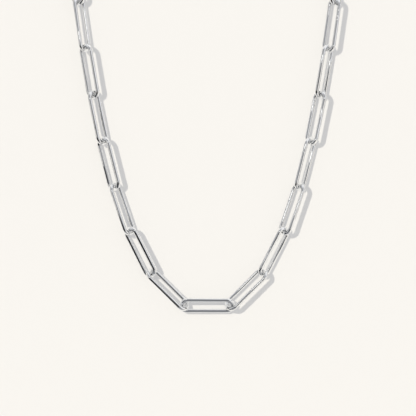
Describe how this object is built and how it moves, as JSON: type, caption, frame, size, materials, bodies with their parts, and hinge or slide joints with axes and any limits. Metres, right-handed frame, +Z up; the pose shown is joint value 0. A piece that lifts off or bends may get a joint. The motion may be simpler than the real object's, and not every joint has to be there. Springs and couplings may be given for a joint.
{
  "type": "paperclip chain necklace",
  "caption": "Necklace of long rounded wire links in polished silver, hung as round a neck in a closed loop, with a plain clasp at the nape.",
  "frame": {"origin": "middle of the clasp, where the chain rests on the nape", "axes": "+Z up along the neck, -Y towards the front, where the chain hangs down, +X to the right of someone who faces it"},
  "size_m": [0.0886, 0.0832, 0.1368],
  "materials": {
    "link_silver": "highly polished sterling silver wire",
    "clasp_silver": "polished cast sterling silver"
  },
  "bodies": {
    "root": {"link_01": "link_silver", "link_02": "link_silver", "link_03": "link_silver", "link_04": "link_silver", "link_05": "link_silver", "link_06": "link_silver", "link_07": "link_silver", "link_08": "link_silver", "link_09": "link_silver", "link_10": "link_silver", "link_11": "link_silver", "link_12": "link_silver", "link_13": "link_silver", "link_14": "link_silver", "link_15": "link_silver", "link_16": "link_silver", "link_17": "link_silver", "link_18": "link_silver", "link_19": "link_silver", "link_20": "link_silver", "link_21": "link_silver", "link_22": "link_silver", "link_23": "link_silver", "link_24": "link_silver", "link_25": "link_silver", "link_26": "link_silver", "link_27": "link_silver", "link_28": "link_silver", "link_29": "link_silver", "link_30": "link_silver", "link_31": "link_silver", "link_32": "link_silver", "link_33": "link_silver", "clasp": "clasp_silver"}
  },
  "joints": []
}
